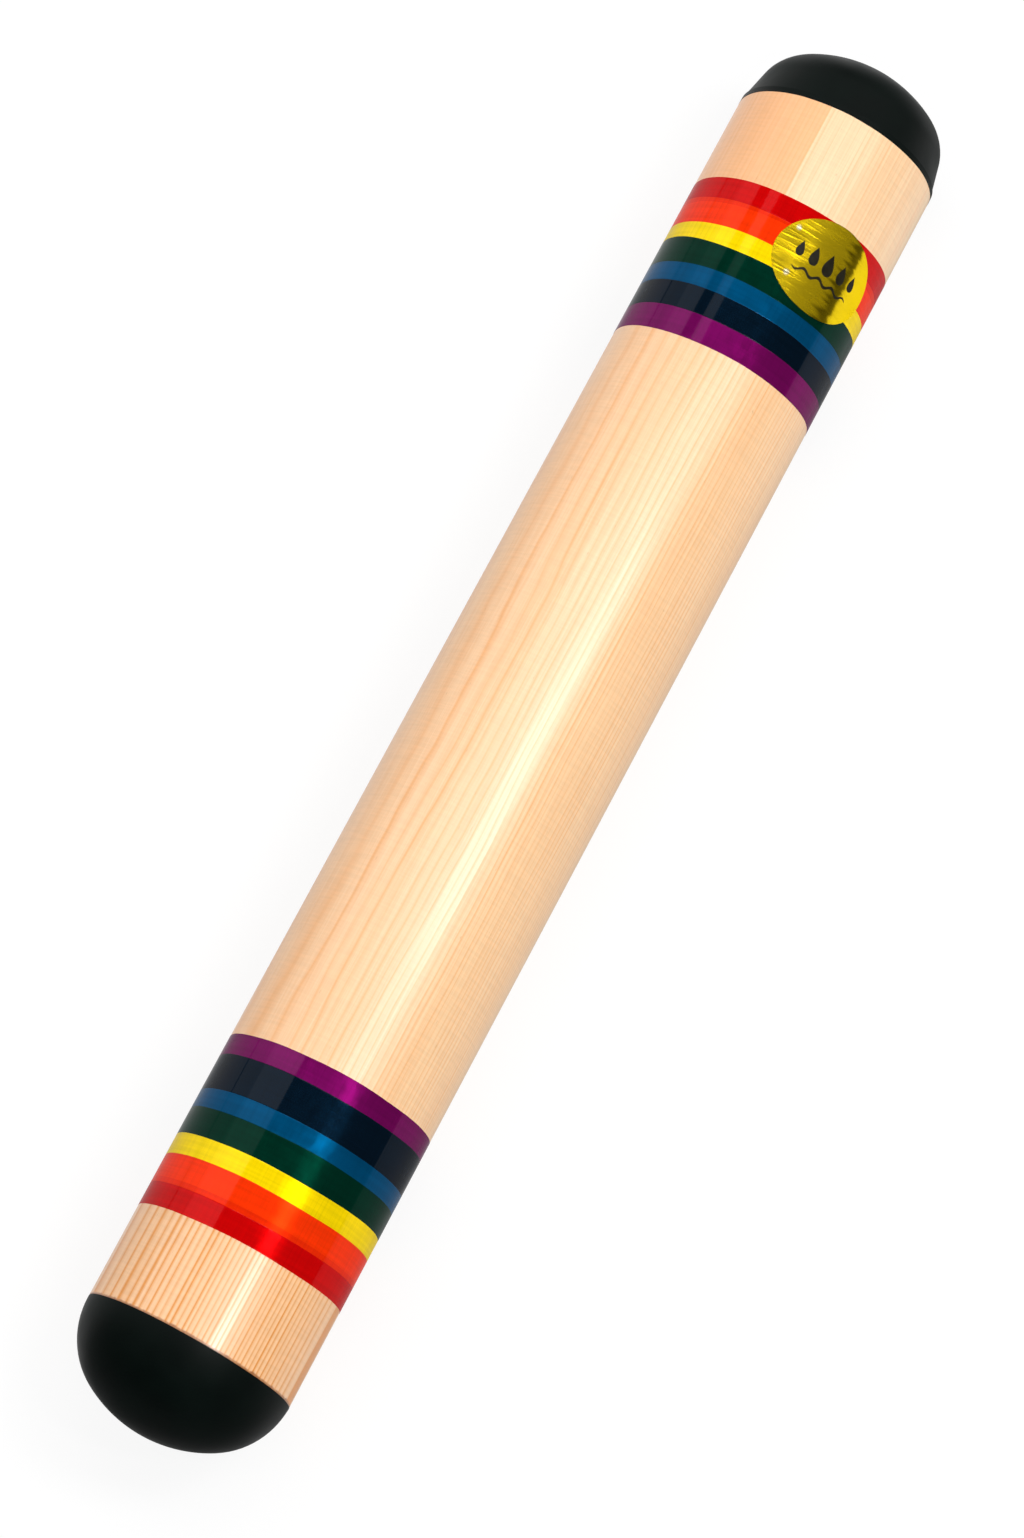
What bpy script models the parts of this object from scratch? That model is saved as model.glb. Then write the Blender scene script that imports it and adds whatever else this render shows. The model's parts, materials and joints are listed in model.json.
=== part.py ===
"""Wooden rainstick: a bored softwood tube closed by two turned end pieces with black dipped domes.
Inside, pins cross a core rod in a spiral, and small steel balls trickle along between them.

The stick lies on its side. +X runs along it to the labelled end, +Z is up, and the origin is the
middle of the line it rests on. Sizes are in metres and angles in degrees.
"""

import math

import bmesh
import bpy

# Outside of the stick
LENGTH = 0.4064  # from dome to dome
DIAMETER = 0.0568
DOME_HEIGHT = 0.0237
DOME_POWER = 2.12  # of the dome's superellipse: 2 is an ellipse, and more is squarer
END_SECTION = 0.0465  # bare cylinder of each end piece, from the glue joint to its dome
COAT_THICKNESS = 0.0008  # of the dip coat on each dome

# Hollow of the stick
WALL = 0.0084
SPIGOT_LENGTH = 0.018
SPIGOT_CHAMFER = 0.001
BORE_CHAMFER = 0.0005

# Core rod and its spiral of pins
CORE_DIAMETER = 0.010
CORE_SEAT = 0.012  # length of the rod held in each end piece
CORE_CHAMFER = 0.0008
PIN_DIAMETER = 0.0018
PIN_CHAMFER = 0.0003
PIN_COUNT = 27
PIN_END_MARGIN = 0.011  # from the chamber's end to the middle of the first pin
PIN_TURN = 30.0  # from each pin to the next; the balls' lanes run halfway between pins

# Balls
BALL_DIAMETER = 0.0045
BALLS_PER_LANE = 8
LANES = {"left": -1, "middle": 0, "right": 1}  # counted in pin turns from the lowest lane

# Oval foil label, wrapped round the glue joint of the labelled end
LABEL_LENGTH = 0.0254  # along the stick
LABEL_WIDTH = 0.03175  # round the stick
LABEL_OFFSET = 0.0066  # from the glue joint to the middle of the label, towards the dome
LABEL_TURN = 214.3  # from straight down, by way of +Y
LABEL_THICKNESS = 0.00015

# Clearances
GLUE_GAP = 0.0003  # between glued or seated faces
PIN_GAP = 0.0002  # round a pin in the core rod
PIN_TIP_GAP = 0.0006  # from a pin's tip to the bore
BALL_GAP = 0.0003  # from a ball to the bore, to the next ball and to the chamber's end

# Facets
WOOD_SIDES = 40
CORE_SIDES = 24
PIN_SIDES = 8
DOME_RINGS = 7
BALL_SUBDIVISIONS = 2
LABEL_SEGMENTS = 8
MERGE_DISTANCE = 1e-6
SHARP_ANGLE = 35.0

# Sizes that follow
RADIUS = DIAMETER / 2
BORE_RADIUS = RADIUS - WALL
TUBE_LENGTH = LENGTH - 2 * (DOME_HEIGHT + END_SECTION)
CHAMBER_LENGTH = TUBE_LENGTH - 2 * SPIGOT_LENGTH
CORE_LENGTH = CHAMBER_LENGTH + 2 * CORE_SEAT
PIN_PITCH = (CHAMBER_LENGTH - 2 * PIN_END_MARGIN) / (PIN_COUNT - 1)
PIN_LENGTH = 2 * (BORE_RADIUS - PIN_TIP_GAP)
LANE_RADIUS = BORE_RADIUS - BALL_GAP - BALL_DIAMETER / 2
BALL_PITCH = BALL_DIAMETER + BALL_GAP

WOOD_PALE = ((0.93, 0.68, 0.40, 1.0), 0.25, 0.0)
WOOD_END = ((0.91, 0.64, 0.37, 1.0), 0.25, 0.0)
BLACK_DIP = ((0.004, 0.008, 0.007, 1.0), 0.35, 0.0)
GOLD_FOIL = ((0.80, 0.58, 0.06, 1.0), 0.18, 1.0)
BIRCH = ((0.72, 0.52, 0.31, 1.0), 0.6, 0.0)
BRASS = ((0.71, 0.52, 0.22, 1.0), 0.35, 1.0)
STEEL = ((0.56, 0.57, 0.58, 1.0), 0.2, 1.0)


def clear_scene():
    for obj in list(bpy.data.objects):
        bpy.data.objects.remove(obj)


def new_collection(name):
    collection = bpy.data.collections.new(name)
    bpy.context.scene.collection.children.link(collection)
    return collection


def new_material(name, look):
    colour, roughness, metallic = look
    material = bpy.data.materials.new(name)
    material.use_nodes = True
    shader = material.node_tree.nodes["Principled BSDF"]
    shader.inputs["Base Color"].default_value = colour
    shader.inputs["Roughness"].default_value = roughness
    shader.inputs["Metallic"].default_value = metallic
    return material


def place(name, mesh, collection, parent=None):
    obj = bpy.data.objects.new(name, mesh)
    collection.objects.link(obj)
    obj.parent = parent
    return obj


def apply_modifiers(obj):
    """Gives the object the mesh that its modifiers make, shaded smooth with crisp corners."""
    graph = bpy.context.evaluated_depsgraph_get()
    mesh = bpy.data.meshes.new_from_object(obj.evaluated_get(graph))
    mesh.name = obj.name
    obj.modifiers.clear()
    obj.data = mesh
    mesh.shade_smooth()
    mesh.set_sharp_from_angle(angle=math.radians(SHARP_ANGLE))


def turned_mesh(name, profile, closed, sides, material):
    """A profile of (radius, height) points, turned round Z: down the outside, then up the inside."""
    mesh = bpy.data.meshes.new(name)
    edges = [(i, i + 1) for i in range(len(profile) - 1)]
    if closed:
        edges.append((len(profile) - 1, 0))
    mesh.from_pydata([(radius, 0, height) for radius, height in profile], edges, [])
    mesh.materials.append(material)
    lathe = place(name, mesh, bpy.context.scene.collection)
    screw = lathe.modifiers.new("turning", "SCREW")
    screw.steps = sides
    screw.render_steps = sides
    screw.use_merge_vertices = True
    screw.merge_threshold = MERGE_DISTANCE
    apply_modifiers(lathe)
    finished = lathe.data
    bpy.data.objects.remove(lathe)
    return finished


def circumscribed(radius):
    """The corner radius of a faceted cylinder whose flats lie on this radius."""
    return radius / math.cos(math.pi / WOOD_SIDES)


def dome_profile(inset):
    """The dome from its tip to its rim, pulled in by inset, with its rim at height 0."""
    radius = circumscribed(RADIUS - inset)
    height = DOME_HEIGHT - inset
    points = []
    for ring in range(DOME_RINGS + 1):
        turn = math.pi / 2 * ring / DOME_RINGS
        points.append(
            (
                radius * math.sin(turn) ** (2 / DOME_POWER),
                height * math.cos(turn) ** (2 / DOME_POWER),
            )
        )
    points[0] = (0.0, height)
    points[-1] = (radius, 0.0)
    return points


def make_tube(collection, axis):
    outside = circumscribed(RADIUS)
    end = TUBE_LENGTH / 2 - GLUE_GAP / 2
    mouth = BORE_RADIUS + BORE_CHAMFER
    profile = [
        (outside, end),
        (outside, -end),
        (mouth, -end),
        (BORE_RADIUS, -end + BORE_CHAMFER),
        (BORE_RADIUS, end - BORE_CHAMFER),
        (mouth, end),
    ]
    wood = new_material("softwood_tube", WOOD_PALE)
    mesh = turned_mesh("centre_tube", profile, True, WOOD_SIDES, wood)
    tube = place("centre_tube", mesh, collection, axis)
    tube.rotation_euler.z = math.pi / WOOD_SIDES


def end_piece_profile():
    """An end piece standing on its spigot, with its glue joint at height 0."""
    outside = circumscribed(RADIUS)
    spigot = BORE_RADIUS - GLUE_GAP
    socket = CORE_DIAMETER / 2 + GLUE_GAP
    tip = -SPIGOT_LENGTH
    dome = [
        (radius, END_SECTION + height)
        for radius, height in dome_profile(COAT_THICKNESS + GLUE_GAP)
    ]
    return dome + [
        (outside, END_SECTION),
        (outside, GLUE_GAP / 2),
        (spigot, GLUE_GAP / 2),
        (spigot, tip + SPIGOT_CHAMFER),
        (spigot - SPIGOT_CHAMFER, tip),
        (socket, tip),
        (socket, tip + CORE_SEAT + GLUE_GAP),
        (0.0, tip + CORE_SEAT + GLUE_GAP),
    ]


def coat_profile():
    """The shell of the dip coat: down the outside, then up the inside."""
    outer = [(r, h + GLUE_GAP) for r, h in dome_profile(0.0)]
    inner = [(r, h + GLUE_GAP) for r, h in dome_profile(COAT_THICKNESS)]
    outer[0] = (0.0, DOME_HEIGHT)
    inner[0] = (0.0, DOME_HEIGHT - COAT_THICKNESS)
    return outer + inner[::-1]


def make_ends(collection, axis):
    wood = new_material("softwood_end", WOOD_END)
    dip = new_material("black_dip", BLACK_DIP)
    block = turned_mesh("end_piece", end_piece_profile(), False, WOOD_SIDES, wood)
    coat = turned_mesh("dome_coat", coat_profile(), False, WOOD_SIDES, dip)
    joint = TUBE_LENGTH / 2
    rim = joint + END_SECTION
    for end, side in (("labelled", 1), ("plain", -1)):
        for name, mesh, station in (("end_piece", block, joint), ("dome_coat", coat, rim)):
            piece = place(f"{name}_{end}", mesh, collection, axis)
            piece.location.z = side * station
            piece.rotation_euler.x = 0 if side > 0 else math.pi
            piece.rotation_euler.z = math.pi / WOOD_SIDES


def pin_stations():
    """The height on the axis and the turn, in radians, of each pin of the spiral."""
    first = -CHAMBER_LENGTH / 2 + PIN_END_MARGIN
    return [
        (first + i * PIN_PITCH, math.radians(PIN_TURN * (i + 0.5)))
        for i in range(PIN_COUNT)
    ]


def rod_profile(diameter, length, chamfer):
    radius, end = diameter / 2, length / 2
    return [
        (0.0, end),
        (radius - chamfer, end),
        (radius, end - chamfer),
        (radius, -end + chamfer),
        (radius - chamfer, -end),
        (0.0, -end),
    ]


def cross_pin(name, mesh, collection, axis, station, turn):
    """Lays a mesh made along Z across the axis, at its station and turn."""
    pin = place(name, mesh, collection, axis)
    pin.location.z = station
    pin.rotation_euler = (0, math.pi / 2, turn)
    return pin


def make_core(collection, cutters, axis):
    birch = new_material("birch", BIRCH)
    profile = rod_profile(CORE_DIAMETER, CORE_LENGTH, CORE_CHAMFER)
    mesh = turned_mesh("core_rod", profile, False, CORE_SIDES, birch)
    rod = place("core_rod", mesh, collection, axis)
    hole = bmesh.new()
    radius = (PIN_DIAMETER / 2 + PIN_GAP) / math.cos(math.pi / PIN_SIDES)
    bmesh.ops.create_cone(
        hole,
        cap_ends=True,
        segments=PIN_SIDES,
        radius1=radius,
        radius2=radius,
        depth=2 * CORE_DIAMETER,
    )
    drill = bpy.data.meshes.new("pin_drill")
    hole.to_mesh(drill)
    hole.free()
    for number, (station, turn) in enumerate(pin_stations(), 1):
        cutter = cross_pin(f"drill_{number:02}", drill, cutters, axis, station, turn)
        cutter.hide_render = True
        cutter.display_type = "WIRE"
    bores = rod.modifiers.new("pin bores", "BOOLEAN")
    bores.operation = "DIFFERENCE"
    bores.solver = "EXACT"
    bores.operand_type = "COLLECTION"
    bores.collection = cutters
    bpy.context.view_layer.update()
    apply_modifiers(rod)


def make_pins(collection, axis):
    brass = new_material("brass_pin", BRASS)
    profile = rod_profile(PIN_DIAMETER, PIN_LENGTH, PIN_CHAMFER)
    mesh = turned_mesh("pin", profile, False, PIN_SIDES, brass)
    for number, (station, turn) in enumerate(pin_stations(), 1):
        cross_pin(f"pin_{number:02}", mesh, collection, axis, station, turn)


def make_balls(collection, axis):
    """Each lane's balls lie in a row at the plain end, where they gather when it is lowered."""
    shape = bmesh.new()
    bmesh.ops.create_icosphere(
        shape, subdivisions=BALL_SUBDIVISIONS, radius=BALL_DIAMETER / 2
    )
    mesh = bpy.data.meshes.new("ball")
    shape.to_mesh(mesh)
    shape.free()
    mesh.shade_smooth()
    mesh.materials.append(new_material("steel_ball", STEEL))
    first = -CHAMBER_LENGTH / 2 + BALL_GAP + BALL_DIAMETER / 2
    for lane, step in LANES.items():
        turn = math.radians(PIN_TURN * step)
        for number in range(BALLS_PER_LANE):
            ball = place(f"ball_{lane}_{number + 1}", mesh, collection, axis)
            ball.location = (
                LANE_RADIUS * math.cos(turn),
                LANE_RADIUS * math.sin(turn),
                first + number * BALL_PITCH,
            )


def make_label(collection, axis):
    """A square grid, rounded to a disc, stretched to an oval and wrapped round the stick."""
    shape = bmesh.new()
    bmesh.ops.create_grid(
        shape, x_segments=LABEL_SEGMENTS, y_segments=LABEL_SEGMENTS, size=1.0
    )
    inside = circumscribed(RADIUS) + GLUE_GAP
    for vertex in shape.verts:
        x, y, _ = vertex.co
        along = x * math.sqrt(1 - y * y / 2) * LABEL_LENGTH / 2
        around = y * math.sqrt(1 - x * x / 2) * LABEL_WIDTH / 2
        turn = around / RADIUS
        vertex.co = (inside * math.cos(turn), inside * math.sin(turn), along)
    bmesh.ops.recalc_face_normals(shape, faces=shape.faces)
    mesh = bpy.data.meshes.new("foil_label")
    shape.to_mesh(mesh)
    shape.free()
    mesh.materials.append(new_material("gold_foil", GOLD_FOIL))
    label = place("foil_label", mesh, collection, axis)
    label.location.z = TUBE_LENGTH / 2 + LABEL_OFFSET
    label.rotation_euler.z = math.radians(LABEL_TURN)
    foil = label.modifiers.new("foil", "SOLIDIFY")
    foil.thickness = LABEL_THICKNESS
    foil.offset = 1.0
    apply_modifiers(label)


def main():
    clear_scene()
    parts = new_collection("wooden_rainstick")
    cutters = new_collection("cutters")
    axis = place("stick_axis", None, parts)
    axis.location.z = RADIUS
    axis.rotation_euler.y = math.pi / 2
    make_tube(parts, axis)
    make_ends(parts, axis)
    make_core(parts, cutters, axis)
    make_pins(parts, axis)
    make_balls(parts, axis)
    make_label(parts, axis)


main()
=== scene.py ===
"""Wooden rainstick: the turned and varnished wood, the painted bands, the dipped ends, the foil label,
and the rod, pins and balls that make the sound of rain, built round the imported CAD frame.

The stick lies along X with its labelled end at +X. A station is a place along the stick, counted from
its middle. A turn is an angle round the stick's axis, from straight up towards +Y. Sizes are in metres.
"""

import json
import math
import random
from functools import partial

import bmesh
import bpy
import numpy as np
from mathutils import Matrix, Vector, noise

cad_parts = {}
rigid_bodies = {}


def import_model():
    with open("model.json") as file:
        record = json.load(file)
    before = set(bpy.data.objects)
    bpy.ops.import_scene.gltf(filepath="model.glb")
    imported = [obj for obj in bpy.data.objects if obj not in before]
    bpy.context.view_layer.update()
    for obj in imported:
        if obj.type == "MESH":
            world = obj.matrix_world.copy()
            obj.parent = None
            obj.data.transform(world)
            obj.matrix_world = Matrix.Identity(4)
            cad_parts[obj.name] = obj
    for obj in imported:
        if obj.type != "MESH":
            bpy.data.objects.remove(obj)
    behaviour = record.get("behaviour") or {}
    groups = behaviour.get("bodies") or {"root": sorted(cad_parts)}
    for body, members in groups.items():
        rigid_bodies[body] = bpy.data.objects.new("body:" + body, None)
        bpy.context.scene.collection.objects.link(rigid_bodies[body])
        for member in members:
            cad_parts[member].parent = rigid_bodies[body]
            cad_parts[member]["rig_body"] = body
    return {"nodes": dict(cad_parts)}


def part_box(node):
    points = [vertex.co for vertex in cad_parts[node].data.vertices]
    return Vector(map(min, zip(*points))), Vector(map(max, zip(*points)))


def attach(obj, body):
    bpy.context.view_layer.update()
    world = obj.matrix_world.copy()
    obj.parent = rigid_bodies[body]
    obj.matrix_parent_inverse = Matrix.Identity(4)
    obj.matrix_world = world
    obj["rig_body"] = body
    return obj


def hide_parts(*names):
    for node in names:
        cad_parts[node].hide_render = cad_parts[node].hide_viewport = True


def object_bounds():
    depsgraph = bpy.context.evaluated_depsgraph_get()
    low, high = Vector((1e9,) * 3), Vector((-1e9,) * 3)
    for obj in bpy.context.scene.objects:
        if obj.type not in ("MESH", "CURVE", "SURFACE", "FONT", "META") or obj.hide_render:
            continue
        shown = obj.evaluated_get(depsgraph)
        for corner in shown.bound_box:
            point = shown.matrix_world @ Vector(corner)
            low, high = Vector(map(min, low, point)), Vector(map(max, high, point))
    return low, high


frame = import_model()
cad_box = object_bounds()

bl_info = {
    "name": "Wooden rainstick",
    "version": (1, 0, 0),
    "blender": (4, 5, 0),
    "location": "View3D > Sidebar > Rainstick",
    "description": "Turned wood, painted bands, dipped ends, foil label and fill of a rainstick",
    "category": "Object",
}

MM = 0.001
ENDS = {"labelled": 1, "plain": -1}
PAINTS = ("purple", "navy", "blue", "green", "yellow", "orange", "red")


# What the CAD frame says

def middle_of(node):
    low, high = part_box(node)
    return (low + high) / 2


TUBE_LOW, TUBE_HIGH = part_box("centre_tube")
AXIS_HEIGHT = middle_of("centre_tube").z


def corners_round_axis(node):
    """Corners of a CAD node: along the stick, across it, and above its axis."""
    return np.array([v.co for v in frame["nodes"][node].data.vertices]) - (0, 0, AXIS_HEIGHT)


def radial_distances(node):
    """How far each corner of a CAD node is from the stick's axis."""
    corners = corners_round_axis(node)
    return np.hypot(corners[:, 1], corners[:, 2])


def label_place():
    """The station and the turn of the label's middle."""
    corners = corners_round_axis("foil_label")
    return middle_of("foil_label").x, math.atan2(corners[:, 1].mean(), corners[:, 2].mean())


RADIUS = (TUBE_HIGH.y - TUBE_LOW.y) / 2
BORE_RADIUS = float(radial_distances("centre_tube").min())
JOINT = TUBE_HIGH.x
TIP = cad_box[1].x
DOME_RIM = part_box("dome_coat_labelled")[0].x
SPIGOT_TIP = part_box("end_piece_labelled")[0].x
ROD_RADIUS = float(radial_distances("core_rod").max())
ROD_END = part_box("core_rod")[1].x
LABEL_STATION, LABEL_TURN = label_place()


# Sizes and colours that a maker may change

def length(name, description, default):
    return bpy.props.FloatProperty(
        name=name, description=description, default=default, unit="LENGTH", precision=5
    )


def angle(name, description, degrees):
    return bpy.props.FloatProperty(
        name=name, description=description, default=math.radians(degrees), subtype="ANGLE"
    )


def amount(name, description, default):
    return bpy.props.FloatProperty(name=name, description=description, default=default, min=0.0)


def colour(name, description, default):
    return bpy.props.FloatVectorProperty(
        name=name, description=description, default=default, subtype="COLOR", size=3,
        min=0.0, max=1.0,
    )


def edges(name, description, default):
    return bpy.props.FloatVectorProperty(
        name=name, description=description, default=default, size=8, unit="LENGTH"
    )


class RAINSTICK_PG_wood(bpy.types.PropertyGroup):
    varnished_radius: length(
        "Wood radius", "Radius of the bare, varnished wood between paint films",
        RADIUS - 0.07 * MM,
    )
    turning_wave: length("Turning wave", "How far the lathe wandered from a true cylinder", 0.02 * MM)
    coat_seat: length("Coat seat", "How deep the wood lies under the dip coat", 0.8 * MM)
    spigot_play: length("Spigot play", "Gap between a spigot and the bore", 0.3 * MM)
    chamfer: length("Chamfer", "Broken edge at mouths and spigot tips", 0.5 * MM)
    tube_pale: colour("Tube early wood", "Pale wood between the rings", (0.985, 0.665, 0.380))
    tube_warm: colour("Tube warm wood", "Pinkish cast of the flat grain", (0.975, 0.595, 0.325))
    tube_line: colour("Tube late wood", "Ring lines of the tube", (0.90, 0.40, 0.120))
    sap_pale: colour("Sapwood", "Pale half of the labelled end piece", (0.985, 0.69, 0.41))
    heart_warm: colour("Heartwood", "Pinkish half of the labelled end piece", (0.955, 0.47, 0.20))
    stripe_pale: colour("Striped early wood", "Pale wood of the plain end piece", (0.985, 0.61, 0.335))
    stripe_line: colour("Striped late wood", "Dark stripes of the plain end piece", (0.80, 0.265, 0.010))
    speck: colour("Speck", "Small dark pores and flecks", (0.55, 0.26, 0.09))


class RAINSTICK_PG_bands(bpy.types.PropertyGroup):
    labelled_edges: edges(
        "Labelled end edges", "Stations of the band edges, purple to red, from the stick's middle",
        (0.1056, 0.1128, 0.1199, 0.1256, 0.1329, 0.1380, 0.1459, 0.1521),
    )
    plain_edges: edges(
        "Plain end edges", "Stations of the band edges, purple to red, from the stick's middle",
        (0.1055, 0.1113, 0.1211, 0.1262, 0.1337, 0.1394, 0.1474, 0.1538),
    )
    film: length("Paint film", "Thickness of the paint", 0.05 * MM)
    lip: length("Edge lip", "Ridge of paint left along a masked edge", 0.004 * MM)
    lip_width: length("Lip width", "Width of that ridge", 0.25 * MM)
    wander: length("Edge wander", "How far a brushed edge strays on its way round", 0.25 * MM)
    bow: length("Bow", "How far the labelled end's edges curve towards the dome", 1.2 * MM)
    lean: length("Lean", "How far the edge of green and yellow strays at the labelled end", 0.9 * MM)
    teeth: length("Edge teeth", "Bleed of the paint along the grain at the bare wood", 0.10 * MM)
    purple: colour("Purple", "Paint", (0.168, 0.0020, 0.094))
    navy: colour("Navy", "Paint", (0.0006, 0.0068, 0.0165))
    blue: colour("Blue", "Paint", (0.0, 0.067, 0.168))
    green: colour("Green", "Paint", (0.0, 0.027, 0.0148))
    yellow: colour("Yellow", "Paint", (0.98, 0.70, 0.0005))
    orange: colour("Orange", "Paint", (0.98, 0.036, 0.001))
    red: colour("Red", "Paint", (0.60, 0.0005, 0.001))


class RAINSTICK_PG_dip(bpy.types.PropertyGroup):
    thickness: length("Thickness", "Of the dip coat over the dome", 0.78 * MM)
    film: length("Rim film", "Thickness of the coat where it runs out on the wood", 0.05 * MM)
    taper: angle("Labelled dome taper", "Slope from the rim of the labelled dome", 12.5)
    taper_length: length("Taper length", "Of the labelled dome's sloping skirt", 9.5 * MM)
    labelled_shoulder: length("Labelled shoulder", "Radius of the labelled dome's shoulder", 12.0 * MM)
    plain_shoulder: length("Plain shoulder", "Radius of the plain dome's shoulder", 21.5 * MM)
    sag: length("Sag", "Unevenness left where the dip ran down and set", 0.06 * MM)
    black: colour("Black", "Dip coat", (0.0012, 0.0030, 0.0024))
    bleed: colour("Bleed", "Stain that the coat left in the wood at the plain end", (0.30, 0.085, 0.015))


class RAINSTICK_PG_label(bpy.types.PropertyGroup):
    foil_length: length("Length", "Of the oval along the stick", 25.4 * MM)
    foil_width: length("Width", "Of the oval round the stick", 31.75 * MM)
    tilt: angle("Tilt", "How far the label was stuck on askew", 1.7)
    thickness: length("Thickness", "Of the foil and its paper", 0.12 * MM)
    crease: length("Crease depth", "Of the wrinkles that run round the stick", 0.035 * MM)
    gold: colour("Gold", "Bright foil", (0.93, 0.66, 0.012))
    # olive is also the base of the painted dark reflection across the foil
    olive: colour("Dull gold", "Foil that has dulled", (0.66, 0.46, 0.006))
    worn: colour("Worn", "Foil rubbed through to silver", (0.86, 0.80, 0.55))
    ink: colour("Ink", "Printed raindrops", (0.006, 0.005, 0.002))


class RAINSTICK_PG_fill(bpy.types.PropertyGroup):
    pin_dome: length("Pin dome", "Height of the rounded tip of a pin", 0.3 * MM)
    dent: length("Dent", "Depth of the dents in a tumbled ball", 0.008 * MM)
    birch: colour("Birch", "Core rod", (0.70, 0.50, 0.30))
    brass: colour("Brass", "Pins", (0.71, 0.50, 0.20))
    steel: colour("Steel", "Balls", (0.55, 0.56, 0.57))


class RAINSTICK_PG_studio(bpy.types.PropertyGroup):
    aim_along: length("Aim along", "Where on the stick the camera looks", -10.2 * MM)
    aim_side: length("Aim side", "How far beside the axis it looks", -2.15 * MM)
    distance: length("Distance", "From the camera to the stick", 1.2481)
    elevation: angle("Elevation", "Of the camera above the horizon", 73.897)
    heading: angle("Heading", "Way the camera faces, from +X towards +Y", 27.308)
    lens: amount("Lens", "Focal length in millimetres on a 36 mm frame", 114.49)
    key: amount("Key", "Radiance of the compact key softbox", 13.5)
    key_edge: amount("Key edge", "Radiance of the key's softer edge", 3.8)
    fill: amount("Fill", "Radiance of the fill softboxes beyond the ends", 1.6)
    side: amount("Side", "Radiance of the broad side softbox", 0.66)
    gloss: amount("Gloss", "Radiance of the panels that only the varnish sees", 1.22)
    dusk: amount("Dusk", "Radiance of the dim room", 0.10)
    floor_seen: amount("Floor seen", "Glow of the floor in the picture", 0.85)
    floor_light: bpy.props.FloatVectorProperty(
        name="Floor light", description="Glow that lights the stick, on its -Y and +Y side",
        default=(0.76, 0.28), size=2, min=0.0,
    )
    floor_gloss: bpy.props.FloatVectorProperty(
        name="Floor gloss", description="Glow that the varnish mirrors, on its -Y and +Y side",
        default=(0.48, 0.75), size=2, min=0.0,
    )
    floor: colour("Floor", "Pale floor", (0.15, 0.15, 0.15))


GROUPS = {
    "rainstick_wood": RAINSTICK_PG_wood,
    "rainstick_bands": RAINSTICK_PG_bands,
    "rainstick_dip": RAINSTICK_PG_dip,
    "rainstick_label": RAINSTICK_PG_label,
    "rainstick_fill": RAINSTICK_PG_fill,
    "rainstick_studio": RAINSTICK_PG_studio,
}


# Facts of this stick that several pieces share

# Gap between the wood and a film that lies on it
SKIN_GAP = 0.004 * MM
# Where the dip coat has its full thickness and the wood under it steps down
SHOULDER = DOME_RIM + 1.2 * MM
# Flat sides round each piece of wood and its coat, and round each band with its finer edges
WOOD_SIDES = 288
BAND_SIDES = 720

# How the rim of each dip coat lies: how far back from the CAD's rim, how far it leans, and towards
# which turn, in degrees
RIM_TILTS = {
    "labelled": {"set_back": 0.5 * MM, "lean": 0.2 * MM, "towards": -33.0},
    "plain": {"set_back": 0.0, "lean": -0.7 * MM, "towards": 61.0},
}

# Grain of the three blocks of wood: the way the rings face, in degrees, how far off the pith is in
# metres, the ring width in millimetres, how that width grows towards the bark, and how far rings waver
GRAINS = {
    "tube": {"facing": 60, "pith": 0.11, "ring": 1.40, "growth": 0.012, "waver": 0.55, "seed": 3.0},
    "labelled": {"facing": 92, "pith": 0.16, "ring": 1.15, "growth": 0.002, "waver": 0.12, "seed": 7.0},
    "plain": {"facing": 96, "pith": 0.12, "ring": 1.45, "growth": 0.018, "waver": 0.12, "seed": 12.0},
}

# How far each paint's gloss takes its own colour, how much clear varnish lies over it, and how
# bright its own gloss is at a slant
PAINT_GLOSS = {
    "purple": (0.4, 0.27, 0.4),
    "navy": (0.4, 0.27, 0.4),
    "blue": (0.4, 0.11, 0.8),
    "green": (0.4, 0.13, 0.8),
}
PLAIN_GLOSS = (0.2, 0.27, 0.4)


# Mesh work

# Faces that meet at more than this angle keep a crisp edge
CRISP_ANGLE = math.radians(35.0)
# A point closer than this to the axis is on it
AXIS_REACH = 0.001 * MM


def on_stick(station, radius, turn):
    """The point at a station along the stick, a radius from its axis and a turn round it."""
    return (station, radius * math.sin(turn), AXIS_HEIGHT + radius * math.cos(turn))


def finished(obj, body):
    """Smooth shading with crisp corners, faces turned outwards, and a ride on its body."""
    shape = bmesh.new()
    shape.from_mesh(obj.data)
    bmesh.ops.recalc_face_normals(shape, faces=shape.faces)
    shape.to_mesh(obj.data)
    shape.free()
    obj.data.shade_smooth()
    obj.data.set_sharp_from_angle(angle=CRISP_ANGLE)
    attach(obj, body)
    return obj


def mesh_of(name, shape):
    """Keeps a worked shape as a mesh."""
    mesh = bpy.data.meshes.new(name)
    shape.to_mesh(mesh)
    shape.free()
    return mesh


def new_object(name, data):
    obj = bpy.data.objects.new(name, data)
    bpy.context.scene.collection.objects.link(obj)
    return obj


def new_piece(name, mesh, material):
    mesh.materials.append(material)
    return new_object(name, mesh)


def turn_to(obj, place, right, back):
    """Puts an object at a place, with its X axis to the right and its Z axis backwards."""
    turned = Matrix((right, back.cross(right), back)).transposed().to_4x4()
    obj.matrix_world = Matrix.Translation(place) @ turned


def piece_of(name, points, faces, material, body="stick"):
    """A finished piece from its points and faces."""
    mesh = bpy.data.meshes.new(name)
    mesh.from_pydata(points, [], faces)
    return finished(new_piece(name, mesh, material), body)


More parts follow.
